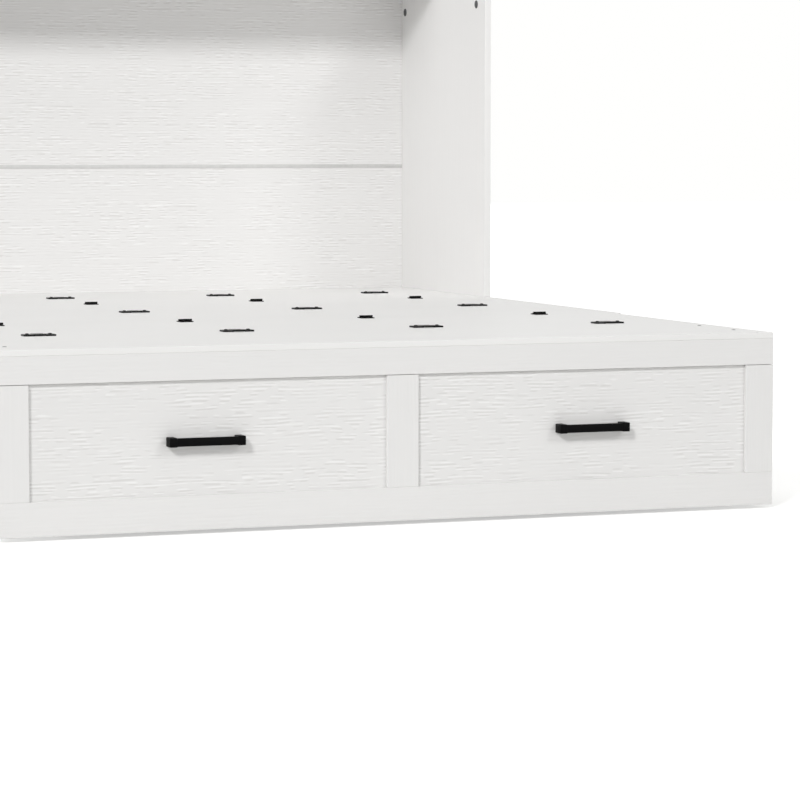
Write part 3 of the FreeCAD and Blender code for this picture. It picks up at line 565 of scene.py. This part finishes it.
hinge_y = {joint["name"]: joint["pos_m"][1] for joint in frame["joints"] if joint["type"] == "hinge"}
front_fold, rear_fold = hinge_y["foot_fold"], hinge_y["middle_fold"]
loop_rows = {part: row_y(part + "_strap_loops") for part in BODY_OF}
low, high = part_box("foot_strap_loops")
deck_top = low.z
outer_column = high.x - LOOP_LENGTH / 2.0
columns = [outer_column * (2.0 * i / (COLUMN_COUNT - 1) - 1.0) for i in range(COLUMN_COUNT)]


def screw_row(y, reach, plate):
    """Two screws to a column, each as far as reach from its middle, on a plate of that thickness."""
    return [(x + dx, y, deck_top + plate) for x in columns for dx in (-reach, reach)]


def leaf_row(fold_y, side):
    """The screws of the hinge leaves in front of a fold, with a side of -1, or behind it, with 1."""
    return screw_row(fold_y + side * LEAF_SCREW_Y, LEAF_SCREW_X, LEAF_PLATE)


def copies(mesh, places, turn=0.0):
    """A bmesh with a copy of the mesh at every place, each turned a little further than the last."""
    shape = bmesh.new()
    for i, place in enumerate(places):
        first = len(shape.verts)
        shape.from_mesh(mesh)
        shape.verts.ensure_lookup_table()
        new = shape.verts[first:]
        bmesh.ops.rotate(shape, cent=ORIGIN, matrix=Matrix.Rotation(i * turn, 3, "Z"), verts=new)
        bmesh.ops.translate(shape, vec=place, verts=new)
    return shape


leaf_places = {
    "foot": leaf_row(front_fold, -1),
    "middle": leaf_row(front_fold, 1) + leaf_row(rear_fold, -1),
    "rear": leaf_row(rear_fold, 1),
}
for part, body in BODY_OF.items():
    places = leaf_places[part] + screw_row(loop_rows[part], LOOP_SCREW_X, EAR_PLATE)
    shape = copies(screw_head, places, DRIVER_TURN)
    piece = make_piece(shape, "pan_heads_" + part, body, powder_black, (part + "_screws",))
    print(piece.name, "carries", len(places), "screws")

# %% [markdown]
# The strap loops
#
# A mattress strap passes under a flat metal bridge between two ears. From the front the loop shows as a
# bold black edge under a grey top, so the thickness of the metal matters. Its side outline is drawn as
# twelve points and extruded across the width. Bevels then round the four upright corners widely and every
# sharp edge finely. One loop is modelled and copied to its twelve places.

# %% Bend one loop and copy it
LOOP_WIDTH = 0.034
LOOP_EAR = 0.019
LOOP_RAMP = 0.0025
BRIDGE_TOP = 0.0039
SLOT_TOP = 0.0012
EAR_CORNER = 0.0050
EDGE_ROUND = 0.0004
SHARP = math.radians(40.0)


def loop_blank():
    """One loop with its seat at the origin. Returns its mesh."""
    half = LOOP_LENGTH / 2.0
    ear = half - LOOP_EAR
    flat = ear - LOOP_RAMP
    right = [(flat - SLOT_TOP, SLOT_TOP), (ear - SLOT_TOP, 0.0), (half, 0.0),
             (half, EAR_PLATE), (ear, EAR_PLATE), (flat, BRIDGE_TOP)]
    left = [(-x, z) for x, z in reversed(right)]
    shape = bmesh.new()
    outline = shape.faces.new([shape.verts.new((x, -LOOP_WIDTH / 2.0, z)) for x, z in right + left])
    pushed = bmesh.ops.extrude_face_region(shape, geom=[outline])
    far_side = [part for part in pushed["geom"] if isinstance(part, bmesh.types.BMVert)]
    bmesh.ops.translate(shape, vec=(0.0, LOOP_WIDTH, 0.0), verts=far_side)

    def is_corner(edge):
        at_end = all(math.isclose(abs(v.co.x), half, rel_tol=1e-4) for v in edge.verts)
        return at_end and math.isclose(edge.calc_length(), EAR_PLATE, rel_tol=1e-3)

    corners = [e for e in shape.edges if is_corner(e)]
    bmesh.ops.bevel(shape, geom=corners, offset=EAR_CORNER, segments=6, profile=0.5, affect="EDGES",
                    material=-1)
    bmesh.ops.recalc_face_normals(shape, faces=shape.faces)
    sharp = [e for e in shape.edges if e.calc_face_angle() > SHARP]
    bmesh.ops.bevel(shape, geom=sharp, offset=EDGE_ROUND, segments=2, profile=0.5, affect="EDGES",
                    clamp_overlap=True, material=-1)
    return settle(shape, "loop_blank")


bent_loop = loop_blank()
for part, body in BODY_OF.items():
    places = [(x, loop_rows[part], deck_top) for x in columns]
    shape = copies(bent_loop, places)
    piece = make_piece(shape, "bent_loops_" + part, body, strap_black,
                       (part + "_strap_loops",))
    print(piece.name, "has", len(piece.data.polygons), "faces")

# %% [markdown]
# The drawer's wheels
#
# Four small nylon wheels carry the drawer. A wheel is a turned part, so half of its section is drawn as a
# few points and spun round the axle: a raised hub with a bore, a recessed web and a tread with rounded
# shoulders. The axle goes through the bore, so the profile never reaches the middle.

# %% Turn the wheels
WHEEL_RADIUS = 0.020
WHEEL_WIDTH = 0.018
BORE_RADIUS = 0.00305
WHEEL_FACE = WHEEL_WIDTH / 2.0
HALF_PROFILE = [(BORE_RADIUS, -WHEEL_FACE), (0.0070, -WHEEL_FACE), (0.0078, -0.0082), (0.0086, -0.0058),
                (0.0142, -0.0058), (0.0152, -0.0084), (0.0164, -WHEEL_FACE), (0.0184, -0.0084),
                (0.0196, -0.0068), (WHEEL_RADIUS, -0.0046)]
AXLE_LINE = (1.0, 0.0, 0.0)
TREAD_STEPS = 48


def wheel_pair(name, body, stands_for):
    """Two wheels at the ends of the CAD pair's box, on one axle line."""
    low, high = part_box(stands_for)
    middle_y = (low.y + high.y) / 2.0
    middle_z = (low.z + high.z) / 2.0
    other_side = [(r, -d) for r, d in reversed(HALF_PROFILE)]
    closed = HALF_PROFILE + other_side + HALF_PROFILE[:1]
    shape = bmesh.new()
    for x in (low.x + WHEEL_FACE, high.x - WHEEL_FACE):
        turned(shape, closed, (x, middle_y, middle_z), AXLE_LINE, TREAD_STEPS)
    return make_piece(shape, name, body, wheel_nylon, (stands_for,))


for end in ("front", "rear"):
    piece = wheel_pair("turned_%s_wheels" % end, end + "_wheel_pair", end + "_wheels")
    print(piece.name, "has", len(piece.data.polygons), "faces")

# %% [markdown]
# Small screws in the deck's edge
#
# Near the foot of the bed, two small dark screws on each side hold the deck board to the rail below. They
# lie flush, so each is a low turned disc that stands a fraction of a millimetre above the foil.

# %% Flush screws
FLUSH_RADIUS = 0.0042
FLUSH_RISE = 0.0006
FLUSH_SINK = 0.0012
FLUSH_STEPS = 16
FROM_SIDE = 0.040
FROM_FRONT = (0.100, 0.258)
flush_profile = [(0.0, -FLUSH_SINK), (FLUSH_RADIUS * 0.6, -FLUSH_SINK), (FLUSH_RADIUS, 0.0),
                 (FLUSH_RADIUS * 0.92, FLUSH_RISE * 0.7), (FLUSH_RADIUS * 0.45, FLUSH_RISE),
                 (FLUSH_RADIUS * 0.28, FLUSH_RISE * 0.1), (0.0, -FLUSH_RISE * 0.4)]
low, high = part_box("foot_deck_board")
shape = bmesh.new()
for x in (low.x + FROM_SIDE, high.x - FROM_SIDE):
    for inset in FROM_FRONT:
        turned(shape, flush_profile, (x, low.y + inset, high.z), UP, FLUSH_STEPS)
flush = make_piece(shape, "flush_deck_screws", "foot_section", powder_black)
print(flush.name, "has", len(flush.data.polygons), "faces")

# %% [markdown]
# The strip over the back's seam
#
# The back is two thin boards. Where they meet, a plastic profile with an H section holds both edges, and
# its front flange shows as a narrow grey strip. Only that flange is seen, so it is one long bar with
# rounded edges, set a little into the boards so that no gap shows. Its place comes from the lower board.

# %% Lay the strip
STRIP_HEIGHT = 0.0095
STRIP_RISE = 0.0012
STRIP_SINK = 0.0006
STRIP_ROUND = 0.0005
low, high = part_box("back_board_lower")
shape = bmesh.new()
block(shape, (low.x, low.y - STRIP_RISE, high.z - STRIP_HEIGHT / 2.0),
      (high.x, low.y + STRIP_SINK, high.z + STRIP_HEIGHT / 2.0), STRIP_ROUND, 2)
strip = make_piece(shape, "back_seam_strip", "cabinet", strip_grey)
print(strip.name, "is", round(high.x - low.x, 3), "m long at height", round(high.z, 3))

# %% [markdown]
# Floor and background
#
# The picture has no horizon: floor and wall are one white. A floor that is only painted white would render
# grey, so it adds a little light of its own, for camera rays and reflections only. That lifts it to white
# without lighting the bed, and the bed's shadow stays on it. Far from the bed the lamps get weaker, so the
# lift grows with the distance from the middle of the room.

# %% Build the floor
FLOOR_HALF = 30.0
FLOOR_PAINT = (0.82, 0.82, 0.81, 1.0)
FLOOR_ROUGHNESS = 0.9
LIFT_TINT = (1.0, 1.0, 0.995, 1.0)
NEAR, FAR = 2.6, 7.0
NEAR_LIFT, FAR_LIFT = 0.48, 0.92


def seen_directly(owner):
    """A factor of 1 for rays from the camera, reflections and glass, and 0 for light that bounces."""
    path = add(owner, "ShaderNodeLightPath")
    mirror = add(owner, "ShaderNodeMath", operation="MAXIMUM")
    either = add(owner, "ShaderNodeMath", operation="MAXIMUM")
    wire(owner, path, "Is Glossy Ray", mirror, 0)
    wire(owner, path, "Is Transmission Ray", mirror, 1)
    wire(owner, path, "Is Camera Ray", either, 0)
    wire(owner, mirror, "Value", either, 1)
    return either


shape = bmesh.new()
bmesh.ops.create_grid(shape, x_segments=1, y_segments=1, size=FLOOR_HALF)
floor = in_scene("studio_floor", settle(shape, "studio_floor"))
floor_white, floor_shader = new_finish("floor_white", FLOOR_ROUGHNESS, 0.0)
floor_shader.inputs["Base Color"].default_value = FLOOR_PAINT
floor_shader.inputs["Emission Color"].default_value = LIFT_TINT
place = add(floor_white, "ShaderNodeTexCoord")
distance = add(floor_white, "ShaderNodeVectorMath", operation="LENGTH")
lift = add(floor_white, "ShaderNodeMapRange", {"From Min": NEAR, "From Max": FAR,
                                               "To Min": NEAR_LIFT, "To Max": FAR_LIFT})
seen_lift = add(floor_white, "ShaderNodeMath", operation="MULTIPLY")
wire(floor_white, place, "Object", distance, 0)
wire(floor_white, distance, "Value", lift, "Value")
wire(floor_white, lift, "Result", seen_lift, 0)
wire(floor_white, seen_directly(floor_white), "Value", seen_lift, 1)
wire(floor_white, seen_lift, "Value", floor_shader, "Emission Strength")
fill_slots(floor, floor_white)
print("floor", 2 * FLOOR_HALF, "m wide")

# %% [markdown]
# Light
#
# The shadows tell how the picture was lit. Under each pull lie two soft shadows, one to the left and one to
# the right, so two large softboxes stand in front of the bed, high up on either side. The same pair casts
# the shadow of the cabinet's top on its back. A white sky and a softbox overhead even the rest out, and
# weak fills in front, on the left, on the right and behind keep every side readable. Together they add up
# to about one, so that a white of 0.8 also renders near 0.8. Each softbox has its watts, its size and its
# place in metres, and the point that it faces.

# %% Sky and softboxes
SKY_LEVEL = 0.26
SKY_TINT = (1.0, 1.0, 0.99, 1.0)
BED_MIDDLE = (0.0, 0.3, 0.6)
INSIDE_RIGHT = (0.8, 0.8, 0.7)
SOFTBOXES = {
    "key_left": (1260.0, 3.0, (-9.6, -12.0, 8.4), BED_MIDDLE),
    "key_right": (368.0, 3.4, (7.3, -12.0, 8.4), BED_MIDDLE),
    "fill_front": (75.0, 3.0, (3.5, -10.0, 1.6), BED_MIDDLE),
    "overhead": (48.0, 3.0, (-0.4, -0.6, 4.2), BED_MIDDLE),
    "fill_left": (65.0, 2.6, (-5.5, -0.8, 1.8), INSIDE_RIGHT),
    "fill_right": (60.0, 2.0, (6.0, 0.4, 1.0), BED_MIDDLE),
    "fill_rear": (110.0, 1.8, (0.0, 6.5, 1.3), BED_MIDDLE),
}

sky = bpy.data.worlds.new("white_sky")
bpy.context.scene.world = sky
sky.use_nodes = True
backdrop = sky.node_tree.nodes["Background"]
backdrop.inputs["Color"].default_value = SKY_TINT
level = add(sky, "ShaderNodeMapRange", {"To Min": SKY_LEVEL, "To Max": 1.0})
wire(sky, seen_directly(sky), "Value", level, "Value")
wire(sky, level, "Result", backdrop, "Strength")


def softbox(name, watts, size, place, target):
    """A square area lamp that faces a point. A lamp shines along its own -Z."""
    data = bpy.data.lights.new(name, "AREA")
    data.energy = watts
    data.size = size
    lamp = in_scene(name, data)
    lamp.location = place
    lamp.rotation_euler = (Vector(target) - Vector(place)).to_track_quat("-Z", "Y").to_euler()


for name, settings in SOFTBOXES.items():
    softbox(name, *settings)

bpy.context.scene.view_settings.view_transform = "Standard"
print("sky", SKY_LEVEL, "and", len(SOFTBOXES), "softboxes")
